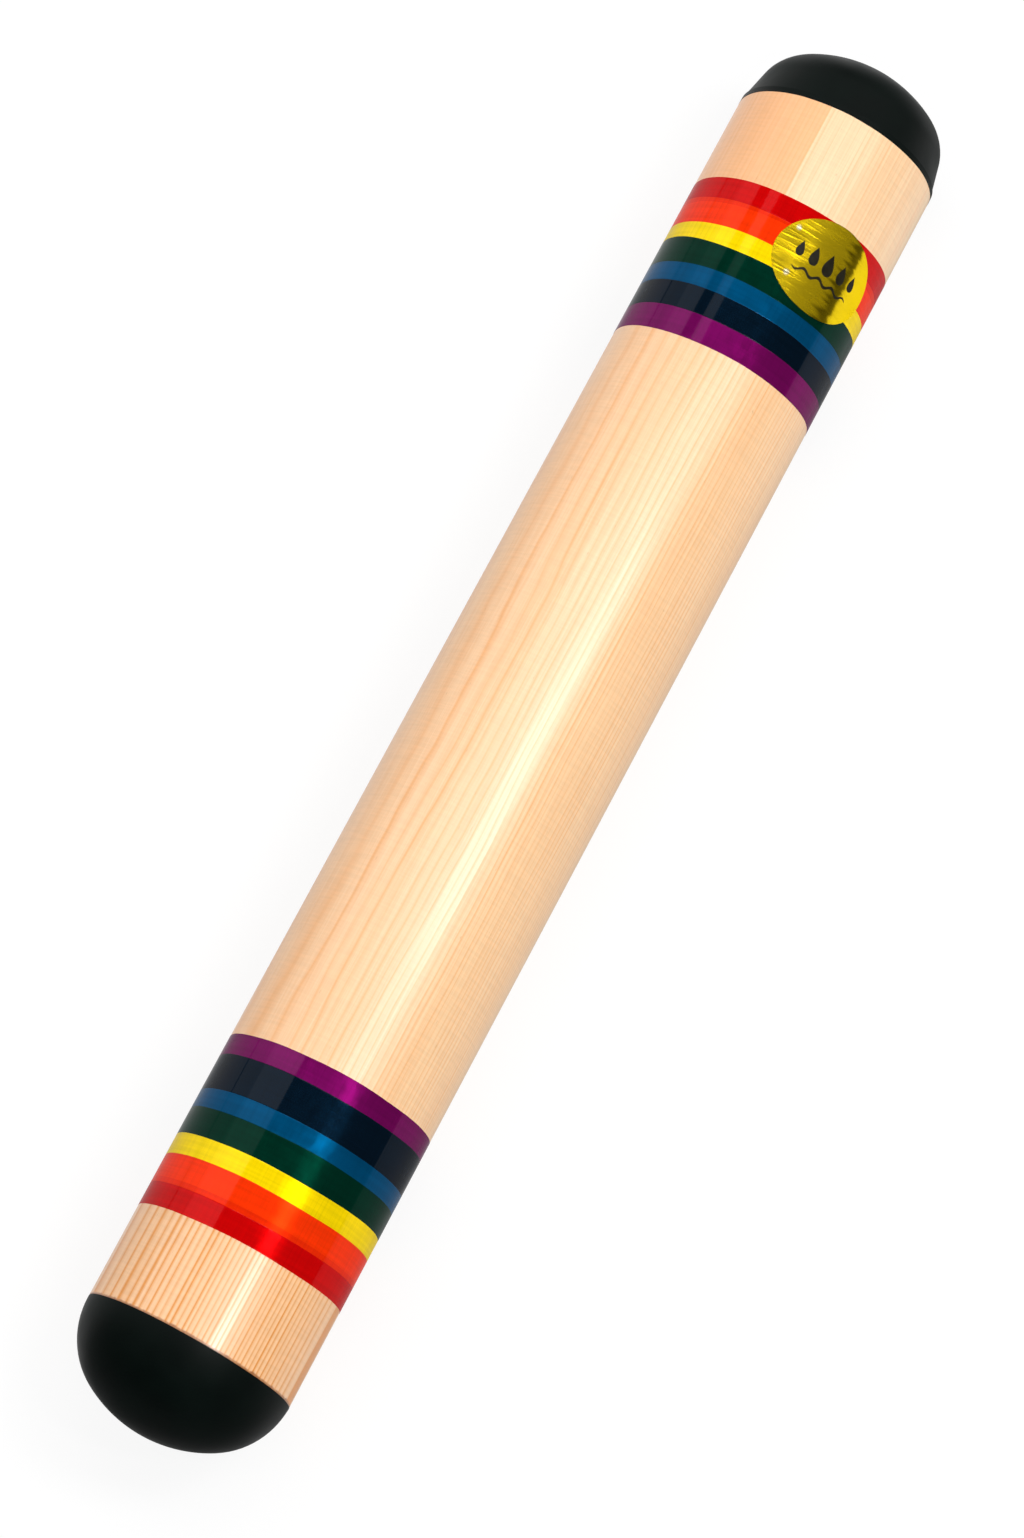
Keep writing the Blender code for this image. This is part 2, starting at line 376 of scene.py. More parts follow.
def turned_piece(name, outline, sides, material):
    """A body of revolution whose outline may change on its way round.

    outline(turn) gives the (station, radius) points of a closed outline, as many at every turn. All
    the columns share a point that lies on the axis.
    """
    turns = [2 * math.pi * k / sides for k in range(sides)]
    columns = [outline(turn) for turn in turns]
    count = len(columns[0])
    if any(len(column) != count for column in columns):
        raise RuntimeError(name + ": its outline changes its number of points on its way round")
    on_axis = [radius < AXIS_REACH for _, radius in columns[0]]
    points = []
    corners = []
    for turn, column in zip(turns, columns):
        row = []
        for i, (station, radius) in enumerate(column):
            if on_axis[i] and corners:
                row.append(corners[0][i])
            else:
                row.append(len(points))
                points.append(on_stick(station, 0.0 if on_axis[i] else radius, turn))
        corners.append(row)
    faces = []
    for here, there in zip(corners, corners[1:] + corners[:1]):
        for i in range(count):
            j = (i + 1) % count
            if not (on_axis[i] and on_axis[j]):
                faces.append(tuple(dict.fromkeys((here[i], here[j], there[j], there[i]))))
    return piece_of(name, points, faces, material)


def spaced(start, end, step):
    """Stations from start to end, about a step apart, both ends included."""
    count = max(1, round(abs(end - start) / step))
    return [start + (end - start) * i / count for i in range(count + 1)]


def ripple(turn, seed, waves=(1, 2, 3, 5, 8)):
    """A smooth wander round the stick that closes on itself, between about -1 and 1."""
    dice = random.Random(seed)
    total = 0.0
    for wave in waves:
        total += dice.uniform(-1, 1) / math.sqrt(wave) * math.cos(wave * turn + dice.uniform(0, 6.3))
    return total / 1.6


def lathe_wave(station, turn):
    """Slow unevenness of the turned surface, between -1 and 1."""
    where = Vector((station * 22, math.sin(turn) * 0.9, math.cos(turn) * 0.9))
    return noise.noise(where) * 1.4


def dome_outline(radius, height, taper, taper_length, shoulder, inset, steps):
    """A turned dome as (height above its rim, radius) points from rim to tip.

    A sloping skirt runs into a shoulder arc, and the shoulder into a crown arc whose radius
    follows from the height. inset pulls the whole outline in.
    """
    slope_x, slope_r = math.cos(taper), -math.sin(taper)
    foot_x = taper_length * slope_x
    foot_r = radius + taper_length * slope_r
    centre_x = foot_x + shoulder * slope_r
    centre_r = foot_r - shoulder * slope_x
    rise = height - centre_x
    crown = (rise * rise + centre_r * centre_r - shoulder * shoulder) / (2 * (rise - shoulder))
    crown_x = height - crown
    meet = math.atan2(centre_x - crown_x, centre_r)
    points = []
    for i in range(steps + 1):
        way = i / steps
        points.append((foot_x * way, radius + (foot_r - radius) * way - inset))
    for i in range(1, steps + 1):
        aim = taper + (meet - taper) * i / steps
        reach = shoulder - inset
        points.append((centre_x + reach * math.sin(aim), centre_r + reach * math.cos(aim)))
    for i in range(1, 2 * steps + 1):
        aim = meet + (math.pi / 2 - meet) * i / (2 * steps)
        reach = crown - inset
        points.append((crown_x + reach * math.sin(aim), max(0.0, reach * math.cos(aim))))
    points[-1] = (height - inset, 0.0)
    return points


def dome_of(end, inset, steps=14):
    """The dome outline of one end, from the rim station to the tip."""
    dip = bpy.context.scene.rainstick_dip
    labelled = end == "labelled"
    return dome_outline(
        RADIUS - 0.01 * MM,
        TIP - DOME_RIM,
        dip.taper if labelled else 0.0,
        dip.taper_length if labelled else 0.001 * MM,
        dip.labelled_shoulder if labelled else dip.plain_shoulder,
        inset,
        steps,
    )


def dome_past(end, inset, station):
    """The points of a dome outline from the tip back to a station, as (station, radius)."""
    return [(DOME_RIM + x, r) for x, r in reversed(dome_of(end, inset)) if DOME_RIM + x > station]


# Node work

def is_socket(value):
    return isinstance(value, bpy.types.NodeSocket)


def connect(node, inputs):
    """Gives each named socket of a node its value, or the socket that feeds it."""
    for key, value in inputs.items():
        if is_socket(value):
            node.id_data.links.new(value, node.inputs[key])
        else:
            node.inputs[key].default_value = value


def add(kind, inputs=None, tree=None, **settings):
    """Adds a node to a tree, by default the one its inputs come from. settings are its choices."""
    inputs = inputs or {}
    tree = tree or next(value.id_data for value in inputs.values() if is_socket(value))
    node = tree.nodes.new(kind)
    for key, value in settings.items():
        setattr(node, key, value)
    connect(node, inputs)
    return node


def maths(operation, *values, clamp=False):
    """A Math node's result. Each value is a number or a socket."""
    inputs = dict(enumerate(values))
    return add("ShaderNodeMath", inputs, operation=operation, use_clamp=clamp).outputs[0]


def plus(a, b, clamp=False):
    return maths("ADD", a, b, clamp=clamp)


def minus(a, b):
    return maths("SUBTRACT", a, b)


def times(a, b, clamp=False):
    return maths("MULTIPLY", a, b, clamp=clamp)


def strayed(value, chance, reach):
    """A value that noise carries off its place, by up to half of reach either way."""
    return plus(value, times(minus(chance, 0.5), reach))


def spread(value, low, high, to_low=0.0, to_high=1.0):
    """A value mapped smoothly from low..high to to_low..to_high."""
    inputs = {"Value": value, "From Min": low, "From Max": high, "To Min": to_low, "To Max": to_high}
    return add("ShaderNodeMapRange", inputs, interpolation_type="SMOOTHSTEP").outputs["Result"]


def with_alpha(shade):
    """A colour as a socket takes it. A socket stays as it is."""
    return shade if is_socket(shade) else (*shade, 1.0)


def blend(factor, a, b, how="MIX"):
    """Mixes two colours."""
    inputs = {0: factor, 6: with_alpha(a), 7: with_alpha(b)}
    return add("ShaderNodeMix", inputs, data_type="RGBA", blend_type=how).outputs[2]


def mixed(factor, a, b):
    """Mixes two numbers."""
    return add("ShaderNodeMix", {0: factor, 2: a, 3: b}, data_type="FLOAT").outputs[0]


def toned(shade, amount):
    """A colour made darker or lighter by a number."""
    grey = add("ShaderNodeCombineColor", {0: amount, 1: amount, 2: amount}).outputs[0]
    return blend(1.0, shade, grey, "MULTIPLY")


def own_place(tree):
    """Where a point is on the piece, in metres, whatever the pose."""
    return add("ShaderNodeTexCoord", tree=tree).outputs["Object"]


def axes_of(place):
    return add("ShaderNodeSeparateXYZ", {0: place}).outputs


def stretched_noise(place, along, around, detail=3.0, rough=0.55):
    """Noise over a place. along and around are its counts per metre along and across the stick."""
    inputs = {0: place, 1: (along, around, around)}
    scaled = add("ShaderNodeVectorMath", inputs, operation="MULTIPLY").outputs[0]
    inputs = {"Vector": scaled, "Scale": 1.0, "Detail": detail, "Roughness": rough}
    return add("ShaderNodeTexNoise", inputs).outputs["Fac"]


def varied(chance, low, high):
    """A number that noise moves between low and high."""
    return spread(chance, 0.3, 0.7, low, high)


def tinted(shade, share):
    """A colour made darker, or brighter up to white."""
    return tuple(min(1.0, c * share) for c in shade)


def ramp(factor, stops):
    """A grey ramp through (position, grey) stops."""
    node = add("ShaderNodeValToRGB", {"Fac": factor})
    elements = node.color_ramp.elements
    for i, (position, grey) in enumerate(stops):
        spot = elements[i] if i < 2 else elements.new(position)
        spot.position = position
        spot.color = (grey, grey, grey, 1.0)
    return node.outputs["Color"]


def new_material(name):
    """A material, its tree and its Principled shader."""
    material = bpy.data.materials.new(name)
    material.use_nodes = True
    tree = material.node_tree
    shader = next(n for n in tree.nodes if n.type == "BSDF_PRINCIPLED")
    return material, tree, shader


def finish(shader, **inputs):
    """Sets sockets of the shader by their names, with underscores for spaces."""
    connect(shader, {key.replace("_", " "): value for key, value in inputs.items()})


def bump(height, strength, distance):
    """The bent normal of a surface with this height."""
    inputs = {"Height": height, "Strength": strength, "Distance": distance}
    return add("ShaderNodeBump", inputs).outputs["Normal"]


# Wood

# One ring, from early wood to late wood: (share of the ring, darkness) stops, the two ends first
RING_PROFILE = ((0.0, 0.30), (1.0, 0.30), (0.14, 0.0), (0.50, 0.05), (0.74, 0.45), (0.88, 1.0))
# How far the rings stray in slow and in quick waves, in millimetres
SLOW_STRAY = 6.0
QUICK_STRAY = 1.2
# How much ring widths differ, as a share of a ring
RING_UNEVENNESS = 0.6


def ring_depth(place, seeded, grain):
    """How far across the rings a point is from the stick's axis, in millimetres."""
    facing = math.radians(grain["facing"])
    axes = axes_of(place)
    across = plus(axes["Y"], grain["pith"] * math.sin(facing))
    up = plus(axes["Z"], grain["pith"] * math.cos(facing) - AXIS_HEIGHT)
    reach = maths("SQRT", plus(times(across, across), times(up, up)))
    depth = times(minus(reach, grain["pith"]), 1 / MM)
    slow = stretched_noise(seeded, 9.0, 26.0, 2.0)
    quick = stretched_noise(seeded, 45.0, 60.0, 2.0)
    stray = strayed(times(minus(slow, 0.5), SLOW_STRAY), quick, QUICK_STRAY)
    return plus(depth, times(stray, grain["waver"]))


def ring_lines(place, depth, grain):
    """The dark late wood of the rings, each ring with its own luck, fading along the stick."""
    chance = {"W": times(depth, 0.28), "Scale": 1.0, "Detail": 2.0}
    uneven = add("ShaderNodeTexNoise", chance, noise_dimensions="1D").outputs["Fac"]
    slower = times(times(depth, depth), -grain["growth"] / grain["ring"] / 2)
    shift = plus(slower, times(uneven, RING_UNEVENNESS))
    phase = plus(maths("DIVIDE", depth, grain["ring"]), shift)
    profile = ramp(maths("FRACT", phase), RING_PROFILE)
    number = maths("FLOOR", phase)
    luck = add("ShaderNodeTexWhiteNoise", {"W": number}, noise_dimensions="1D").outputs["Value"]
    along = axes_of(place)["X"]
    beside = add("ShaderNodeCombineXYZ", {"X": along, "Y": number}).outputs[0]
    fade = stretched_noise(beside, 14.0, 3.7, 1.0)
    weight = times(spread(luck, 0.0, 1.0, 0.55, 1.0), spread(fade, 0.30, 0.68, 0.60, 1.0))
    return times(profile, weight)


def grain_group(block):
    """Node group of one block's solid grain. Its outputs run from 0 to 1, apart from Depth.

    Lines: late wood. Streaks: fine fibres. Cloud: slow change of tone. Depth: place across the
    rings in millimetres, 0 on the stick's axis. Lathe: faint marks that run round the stick.
    """
    name = "grain_" + block
    if name in bpy.data.node_groups:
        return bpy.data.node_groups[name]
    grain = GRAINS[block]
    tree = bpy.data.node_groups.new(name, "ShaderNodeTree")
    place = own_place(tree)
    seed = (grain["seed"],) * 3
    seeded = add("ShaderNodeVectorMath", {0: place, 1: seed}, operation="ADD").outputs[0]
    depth = ring_depth(place, seeded, grain)
    fine = stretched_noise(seeded, 38.0, 2600.0, 3.0, 0.6)
    coarse = stretched_noise(seeded, 14.0, 760.0, 2.0)
    outputs = {
        "Lines": ring_lines(place, depth, grain),
        "Streaks": plus(times(fine, 0.6), times(coarse, 0.4)),
        "Cloud": stretched_noise(seeded, 11.0, 48.0, 3.0),
        "Depth": depth,
        "Lathe": stretched_noise(seeded, 1500.0, 140.0, 2.0),
    }
    for output in outputs:
        tree.interface.new_socket(output, in_out="OUTPUT", socket_type="NodeSocketFloat")
    add("NodeGroupOutput", outputs)
    return tree


def grain_of(tree, block):
    return add("ShaderNodeGroup", tree=tree, node_tree=grain_group(block)).outputs


def varnish(weight=0.27, rough=0.12):
    """The clear varnish over the whole stick."""
    return {"Coat_Weight": weight, "Coat_Roughness": rough, "Coat_IOR": 1.5}


def wood_material(block, tone):
    """Varnished softwood. tone(place, grain) gives its colour before streaks and specks."""
    wood = bpy.context.scene.rainstick_wood
    material, tree, shader = new_material("wood_" + block)
    place = own_place(tree)
    grain = grain_of(tree, block)
    shade = tone(place, grain)
    shade = blend(spread(grain["Streaks"], 0.66, 0.34, 0.0, 0.30), shade, wood.tube_line)
    fibre = spread(grain["Streaks"], 0.32, 0.68, 0.98, 1.01)
    lathe = varied(grain["Lathe"], 0.965, 1.02)
    shade = toned(shade, times(fibre, lathe))
    speck = stretched_noise(place, 420.0, 2100.0, 0.0)
    shade = blend(spread(speck, 0.83, 0.88, 0.0, 0.35), shade, wood.speck)
    height = plus(grain["Streaks"], times(grain["Lines"], 0.5))
    finish(
        shader, Base_Color=shade, Normal=bump(height, 0.30, 0.06 * MM),
        Roughness=varied(grain["Streaks"], 0.46, 0.38), Specular_IOR_Level=1.0, **varnish(),
    )
    return material


def tube_tone(place, grain):
    """Pale wood that turns warmer across the rings."""
    wood = bpy.context.scene.rainstick_wood
    warm = times(spread(grain["Depth"], -6.0, 26.0), 0.75)
    warm = plus(warm, spread(grain["Cloud"], 0.35, 0.7, -0.12, 0.30), clamp=True)
    shade = blend(warm, wood.tube_pale, wood.tube_warm)
    return blend(times(grain["Lines"], 0.98), shade, wood.tube_line)


def labelled_tone(place, grain):
    """Pale sapwood on one side, and pinkish heartwood with stronger lines on the other."""
    wood = bpy.context.scene.rainstick_wood
    heart = spread(strayed(grain["Depth"], grain["Cloud"], 1.0), 3.65, 4.20)
    heart = times(heart, varied(grain["Cloud"], 0.85, 1.0))
    shade = blend(heart, wood.sap_pale, wood.heart_warm)
    strength = mixed(heart, 0.50, 0.95)
    return blend(times(grain["Lines"], strength), shade, wood.tube_line)


def plain_tone(place, grain):
    """Striped wood, stained where the dip coat's thinner crept out from under the rim."""
    wood = bpy.context.scene.rainstick_wood
    dip = bpy.context.scene.rainstick_dip
    shade = blend(varied(grain["Cloud"], 0.0, 0.5), wood.stripe_pale, wood.tube_warm)
    shade = blend(times(grain["Lines"], 2.0, clamp=True), shade, wood.stripe_line)
    lean = RIM_TILTS["plain"]["lean"] / RADIUS
    towards = math.radians(RIM_TILTS["plain"]["towards"])
    slope = (-1.0, -lean * math.sin(towards), -lean * math.cos(towards))
    outwards = add("ShaderNodeVectorMath", {0: place, 1: slope}, operation="DOT_PRODUCT")
    station = plus(outwards.outputs["Value"], AXIS_HEIGHT * lean * math.cos(towards))
    ragged = stretched_noise(place, 0.0, 700.0, 2.0)
    station = strayed(station, ragged, 0.8 * MM)
    stain = spread(station, DOME_RIM - 0.75 * MM, DOME_RIM - 0.15 * MM)
    return blend(stain, shade, dip.bleed)


# Finishes of the other pieces

# How wide the strip is where one colour was brushed over the last, and how soft its edge
OVERLAP_SOFTNESS = 0.05 * MM
RED_OVERLAP = 1.4 * MM


def overlapped(place, shade, station, second):
    """A paint with the strip, up to a station, where a second colour was brushed over it."""
    along = maths("ABSOLUTE", axes_of(place)["X"])
    start = station - RED_OVERLAP
    strip = spread(along, start - OVERLAP_SOFTNESS, start + OVERLAP_SOFTNESS, 0.0, 0.35)
    return blend(strip, shade, second)


def paint_material(name, shade, block, overlap, gloss):
    """Brushed paint under varnish. The grain below shows through, most where the film is thin.

    overlap is the (station, colour) where the next colour begins and was brushed over this one, or
    None. gloss is a row of PAINT_GLOSS.
    """
    material, tree, shader = new_material(name)
    grain = grain_of(tree, block)
    place = own_place(tree)
    colour_now = overlapped(place, shade, *overlap) if overlap else shade
    thin = stretched_noise(place, 60.0, 90.0, 3.0)
    through = times(grain["Lines"], spread(thin, 0.35, 0.7, 0.10, 0.32))
    colour_now = blend(through, colour_now, tinted(shade, 0.55))
    brushed = stretched_noise(place, 900.0, 35.0, 2.0)
    tint = times(varied(brushed, 0.93, 1.06), varied(grain["Streaks"], 0.94, 1.05))
    grit = stretched_noise(place, 260.0, 420.0, 2.0)
    height = plus(times(grain["Lines"], 0.6), plus(times(brushed, 0.25), grit))
    own, clear, slant = gloss
    finish(
        shader, Base_Color=toned(colour_now, tint), Roughness=varied(grit, 0.16, 0.24),
        Normal=bump(height, 0.12, 0.05 * MM), Metallic=own, Specular_IOR_Level=0.0,
        Specular_Tint=(slant, slant, slant, 1.0), **varnish(clear, 0.06),
    )
    return material


def dip_material():
    """Thick black vinyl-like dip: satin, with dust and a faint orange peel."""
    dip = bpy.context.scene.rainstick_dip
    material, tree, shader = new_material("black_dip")
    place = own_place(tree)
    peel = stretched_noise(place, 420.0, 420.0, 2.0)
    slow = stretched_noise(place, 55.0, 55.0, 2.0)
    dusty = tinted(dip.black, 2.2)
    shade = blend(spread(slow, 0.35, 0.75, 0.0, 0.55), dip.black, dusty)
    height = plus(times(peel, 0.2), slow)
    finish(
        shader, Base_Color=shade, Roughness=varied(slow, 0.40, 0.52),
        Normal=bump(height, 0.25, 0.4 * MM), Specular_IOR_Level=0.08,
    )
    return material


# The painted dark reflection on the foil starts at this height over the axis and ends, ragged, at the other
DARK_REFLECTION_FROM = 18.5 * MM
DARK_REFLECTION_TO = 21.3 * MM
# Spots rubbed through to silver: along and round the stick from the label's middle, and radius
WORN_SPOTS = ((6.0 * MM, 12.0 * MM, 0.9 * MM), (-6.6 * MM, 9.6 * MM, 1.0 * MM))


def foil_material():
    """Gold foil rubbed through in two spots, with a painted reflection: bright low, dark across the middle.
    """
    label = bpy.context.scene.rainstick_label
    material, tree, shader = new_material("gold_foil")
    place = own_place(tree)
    crumple = stretched_noise(place, 650.0, 45.0, 2.0)
    cloud = stretched_noise(place, 260.0, 80.0, 3.0)
    shade = blend(spread(cloud, 0.35, 0.65, 0.0, 0.8), label.gold, label.olive)
    height = minus(axes_of(place)["Z"], AXIS_HEIGHT)
    top = strayed(height, crumple, 7 * MM)
    foot = strayed(height, crumple, 2.5 * MM)
    # Painted dark reflection: the foil goes nearly black in a band of heights over the axis
    painted_dark_reflection = times(
        spread(foot, DARK_REFLECTION_FROM - 0.6 * MM, DARK_REFLECTION_FROM + 0.6 * MM),
        spread(top, DARK_REFLECTION_TO + 1.3 * MM, DARK_REFLECTION_TO - 1.3 * MM),
    )
    shade = blend(times(painted_dark_reflection, 0.80), shade, tinted(label.olive, 0.12))
    # Painted bright reflection: below that band the foil goes back to bright gold
    bright = spread(foot, DARK_REFLECTION_FROM + 0.6 * MM, DARK_REFLECTION_FROM - 0.6 * MM, 0.0, 0.8)
    shade = blend(bright, shade, label.gold)
    for along, around, size in WORN_SPOTS:
        spot = on_stick(LABEL_STATION + along, RADIUS, LABEL_TURN + around / RADIUS)
        gap = add("ShaderNodeVectorMath", {0: place, 1: spot}, operation="DISTANCE")
        gap = strayed(gap.outputs["Value"], crumple, 1.2 * MM)
        shade = blend(spread(gap, 0.4 * size, size, 0.9, 0.0), shade, label.worn)
    finish(
        shader, Base_Color=shade, Roughness=spread(cloud, 0.35, 0.7, 0.16, 0.30),
        Normal=bump(crumple, 0.30, 0.12 * MM), Metallic=0.82, Specular_IOR_Level=0.1,
        Specular_Tint=(1.0, 0.86, 0.25, 1.0),
    )
    return material


def ink_material():
    """Printed ink, a little uneven."""
    label = bpy.context.scene.rainstick_label
    material, tree, shader = new_material("label_ink")
    mottle = stretched_noise(own_place(tree), 900.0, 900.0, 3.0)
    finish(
        shader, Base_Color=blend(mottle, label.ink, tinted(label.ink, 3)),
        Roughness=varied(mottle, 0.35, 0.5), Specular_IOR_Level=0.15,
    )
    return material


def birch_material():
    """Bare birch dowel, matt, with fine fibres and a few darker patches."""
    birch = bpy.context.scene.rainstick_fill.birch
    material, tree, shader = new_material("birch_dowel")
    place = own_place(tree)
    fibre = stretched_noise(place, 30.0, 1600.0, 4.0)
    cloud = stretched_noise(place, 9.0, 240.0, 2.0)
    shade = blend(spread(fibre, 0.3, 0.7), tinted(birch, 0.78), birch)
    patch = spread(cloud, 0.4, 0.7, 0.0, 0.35)
    finish(
        shader, Base_Color=blend(patch, shade, tinted(birch, 0.7)),
        Roughness=varied(fibre, 0.72, 0.55), Normal=bump(fibre, 0.4, 0.1 * MM),
    )
    return material


def metal_material(name, shade, scratches, rough):
    """Metal with a little tarnish and fine scratches, so many per metre along and across."""
    material, tree, shader = new_material(name)
    place = own_place(tree)
    scratch = stretched_noise(place, *scratches, 4.0)
    tarnish = stretched_noise(place, 300.0, 300.0, 2.0)
    now = blend(spread(tarnish, 0.4, 0.75, 0.0, 0.5), shade, tinted(shade, 0.5))
    finish(
        shader, Base_Color=now, Roughness=varied(scratch, rough, rough + 0.2),
        Normal=bump(scratch, 0.2, 0.03 * MM), Metallic=1.0,
    )
    return material


# Outlines of the wooden pieces

def wood_surface(station, turn):
    """Radius of the turned wood, with the lathe's slow wander."""
    wood = bpy.context.scene.rainstick_wood
    return wood.varnished_radius - wood.turning_wave * (1 + lathe_wave(station, turn)) / 2


def tube_outline(turn):
    """The bored tube: along the outside, then back through the bore."""
    wood = bpy.context.scene.rainstick_wood
    outside = [(x, wood_surface(x, turn)) for x in spaced(-JOINT, JOINT, 3 * MM)]
    mouth = BORE_RADIUS + wood.chamfer
    return outside + [
        (JOINT, mouth),
        (JOINT - wood.chamfer, BORE_RADIUS),
        (-JOINT + wood.chamfer, BORE_RADIUS),
        (-JOINT, mouth),
    ]


def end_outline(end, turn):
    """An end piece, from the dome's tip to the glue joint, the spigot and the rod's socket."""
    wood = bpy.context.scene.rainstick_wood
    side = ENDS[end]
    dome = dome_past(end, wood.coat_seat, SHOULDER)
    skirt = (SHOULDER, dome[-1][1])
    outside = [(x, wood_surface(side * x, turn)) for x in spaced(SHOULDER, JOINT, 3 * MM)]
    spigot = BORE_RADIUS - wood.spigot_play
    socket = ROD_RADIUS + wood.spigot_play
    points = dome + [skirt] + outside + [
        (JOINT, spigot),
        (SPIGOT_TIP + 2 * wood.chamfer, spigot),
        (SPIGOT_TIP, spigot - 2 * wood.chamfer),
        (SPIGOT_TIP, socket),
        (ROD_END + wood.spigot_play, socket),
        (ROD_END + wood.spigot_play, 0.0),
    ]
    return [(side * x, r) for x, r in points]


class RAINSTICK_OT_tube(bpy.types.Operator):
    """Turns the bored centre tube and varnishes it"""

    bl_idname = "rainstick.tube"
    bl_label = "Centre tube"

    def execute(self, context):
        wood = wood_material("tube", tube_tone)
        tube = turned_piece("tube_of_softwood", tube_outline, WOOD_SIDES, wood)
        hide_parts("centre_tube")
        return {"FINISHED"}


class RAINSTICK_OT_end_pieces(bpy.types.Operator):
    """Turns the two end pieces with their spigots, sockets and domes"""

    bl_idname = "rainstick.end_pieces"
    bl_label = "End pieces"

    def execute(self, context):
        for end, tone in (("labelled", labelled_tone), ("plain", plain_tone)):
            wood = wood_material(end, tone)
            outline = partial(end_outline, end)
            piece = turned_piece("turned_end_" + end, outline, WOOD_SIDES, wood)
            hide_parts("end_piece_" + end)
        return {"FINISHED"}


# Painted bands

# The turn where the labelled end's edges reach furthest back, and the turn where the edge between
# green and yellow strays furthest
BOW_TURN = math.radians(-5.0)
LEAN_TURN = math.radians(75.0)
LEANING_EDGE = ("labelled", 4)


def edge_station(end, number, turn):
    """Where one edge of the bands lies at a turn, from the stick's middle."""
    bands = bpy.context.scene.rainstick_bands
    station = getattr(bands, end + "_edges")[number]
    seed = f"{end} edge {number}"
    station += bands.wander * ripple(turn, seed) + 0.06 * MM * ripple(turn, seed + " fine", (13, 21, 34, 55))
    if end == "labelled":
        facing = math.cos(turn - BOW_TURN)
        station += bands.bow * (0.70 - math.sqrt(facing * facing + 0.02))
    if (end, number) == LEANING_EDGE:
        station += bands.lean * (max(0.0, math.cos(turn - LEAN_TURN)) ** 2 - 0.2)
    if number == 0:
        station += bands.teeth * ripple(turn, seed + " teeth", (89, 144, 233, 300))
    return station


def band_outline(end, number, turn):
    """One paint film: up over the lip of its first edge, across, and down over the second lip."""
    bands = bpy.context.scene.rainstick_bands
    side = ENDS[end]
    start = edge_station(end, number, turn)
    finish = edge_station(end, number + 1, turn)
    # The lip of either edge: distance in from the edge, share of the film, share of the lip
    ridge = [
        (0.0, 0.0, 0.0),
        (0.0, 0.45, 0.0),
        (0.25 * bands.lip_width, 0.95, 0.8),
        (0.5 * bands.lip_width, 1.0, 1.0),
        (bands.lip_width, 1.0, 0.25),
        (0.25 * (finish - start), 1.0, 0.0),
    ]
    shape = [(start + x, film, lip) for x, film, lip in ridge]
    shape.append(((start + finish) / 2, 1.0, 0.0))
    shape += [(finish - x, film, lip) for x, film, lip in reversed(ridge)]
    points = []
    for x, film, lip in shape:
        base = wood_surface(side * x, turn) + SKIN_GAP
        points.append((side * x, base + bands.film * film + bands.lip * lip))
    return points


class RAINSTICK_OT_bands(bpy.types.Operator):
    """Paints the seven bands at each end as thin raised films"""

    bl_idname = "rainstick.bands"
    bl_label = "Painted bands"

    def execute(self, context):
        bands = context.scene.rainstick_bands
        for end in ENDS:
            stations = getattr(bands, end + "_edges")
            for number, paint in enumerate(PAINTS):
                block = "tube" if (stations[number] + stations[number + 1]) / 2 < JOINT else end
                overlap = (stations[number + 1], tuple(bands.red)) if paint == "orange" else None
                shade = tuple(getattr(bands, paint))
                gloss = PAINT_GLOSS.get(paint, PLAIN_GLOSS)
                material = paint_material(f"paint_{paint}_{end}", shade, block, overlap, gloss)
                outline = partial(band_outline, end, number)
                band = turned_piece(f"band_{paint}_{end}", outline, BAND_SIDES, material)
        return {"FINISHED"}


# Dip coats

def rim_station(end, turn):
    """Where the dip coat runs out on the wood."""
    tilt = RIM_TILTS[end]
    return (
        DOME_RIM
        - tilt["set_back"]
        + tilt["lean"] * math.cos(turn - math.radians(tilt["towards"]))
        + 0.10 * MM * ripple(turn, "rim " + end, (2, 3, 5, 8, 13))
        + 0.03 * MM * ripple(turn, "rim fine " + end, (21, 34, 55))
    )


# The drop of extra coat: its height, where it set past the labelled rim and at which turn, and how
# far it spread along and round the stick
NUB_HEIGHT = 0.25 * MM
NUB_PAST_RIM = 0.3 * MM
NUB_TURN = math.radians(345.0)
NUB_ALONG = 0.9 * MM
NUB_AROUND = 1.3 * MM


def nub_height(end, station, turn):
    """How high the drop of extra coat stands at a place."""
    if end == "plain":
        return 0.0
    along = (station - DOME_RIM - NUB_PAST_RIM) / NUB_ALONG
    around = (turn - NUB_TURN) * RADIUS / NUB_AROUND
    return NUB_HEIGHT * math.exp(-along * along - around * around)


def dip_outline(end, turn):
    """The coat: its outside from rim to tip, then its inside back to the rim."""
    dip = bpy.context.scene.rainstick_dip
    side = ENDS[end]
    rim = rim_station(end, turn)
    bare = wood_surface(side * rim, turn) + SKIN_GAP
    fade = 3 * MM
    outer = []
    for x, r in dome_of(end, 0.0):
        station = DOME_RIM + x
        where = Vector((station * 130, math.sin(turn) * 2.1, math.cos(turn) * 2.1 + 9 * side))
        run = min(1.0, (station - DOME_RIM) / fade) * min(1.0, r / fade)
        r -= dip.sag * run * (0.5 + 0.5 * noise.noise(where))
        outer.append((station, r))
    outer = [(x, r + nub_height(end, x, turn)) for x, r in outer if x > SHOULDER]
    lip = [(rim, bare), (rim + 0.02 * MM, bare + 0.6 * dip.film)]
    for x in (rim + 0.12 * MM, rim + 0.35 * MM):
        lip.append((x, bare + dip.film + nub_height(end, x, turn)))
    step = SHOULDER + 0.01 * MM
    inner = dome_past(end, dip.thickness, step)
    wall = [(step, inner[-1][1]), (step, bare)]
    return [(side * x, r) for x, r in lip + outer + inner + wall]


